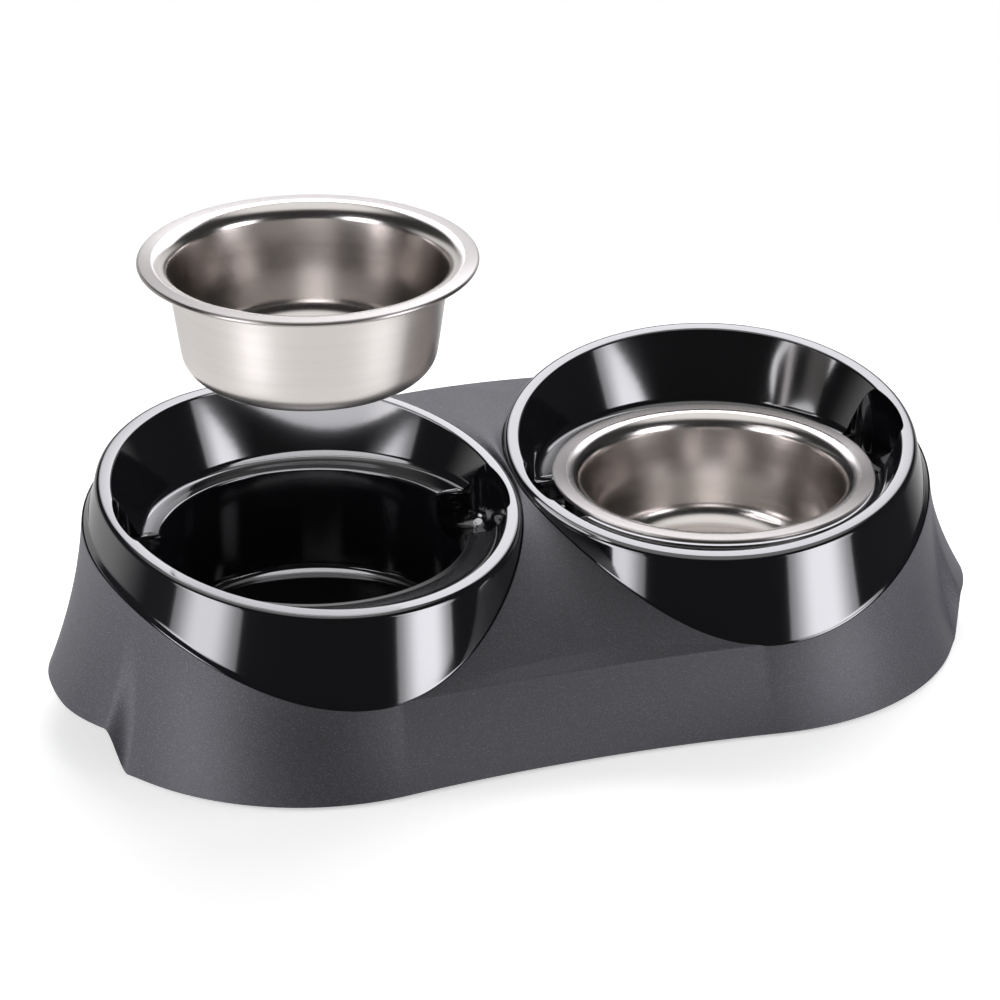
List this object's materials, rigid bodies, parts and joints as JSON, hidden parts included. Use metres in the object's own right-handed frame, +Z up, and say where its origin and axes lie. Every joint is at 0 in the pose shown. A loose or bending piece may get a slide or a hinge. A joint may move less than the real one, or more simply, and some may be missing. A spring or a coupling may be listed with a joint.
{
  "type": "raised double pet bowl",
  "caption": "Moulded raised stand with two leaning ring holders and lift-out pressed steel bowls for feeding a pet.",
  "frame": {"origin": "on the floor under the middle of the stand", "axes": "+X from the left bowl to the right bowl, +Y to the high back of the stand, +Z up"},
  "size_m": [0.472, 0.2395, 0.2301],
  "materials": {
    "stand": "fine grained matt moulded plastic",
    "holders": "high gloss moulded plastic",
    "bowls": "spun satin outside, polished inside",
    "feet": "soft moulded rubber"
  },
  "bodies": {
    "stand": {"stand": "stand", "left_holder": "holders", "right_holder": "holders", "front_left_foot": "feet", "front_right_foot": "feet", "back_left_foot": "feet", "back_right_foot": "feet"},
    "left_bowl": {"left_bowl": "bowls"},
    "right_bowl": {"right_bowl": "bowls"}
  },
  "joints": [
    {"name": "left_bowl_lift", "type": "slide", "parent": "stand", "child": "left_bowl", "axis": [0, 0, 1], "range_m": [-0.142, 0]},
    {"name": "right_bowl_lift", "type": "slide", "parent": "stand", "child": "right_bowl", "axis": [0, 0, 1], "range_m": [0, 0.142]}
  ]
}
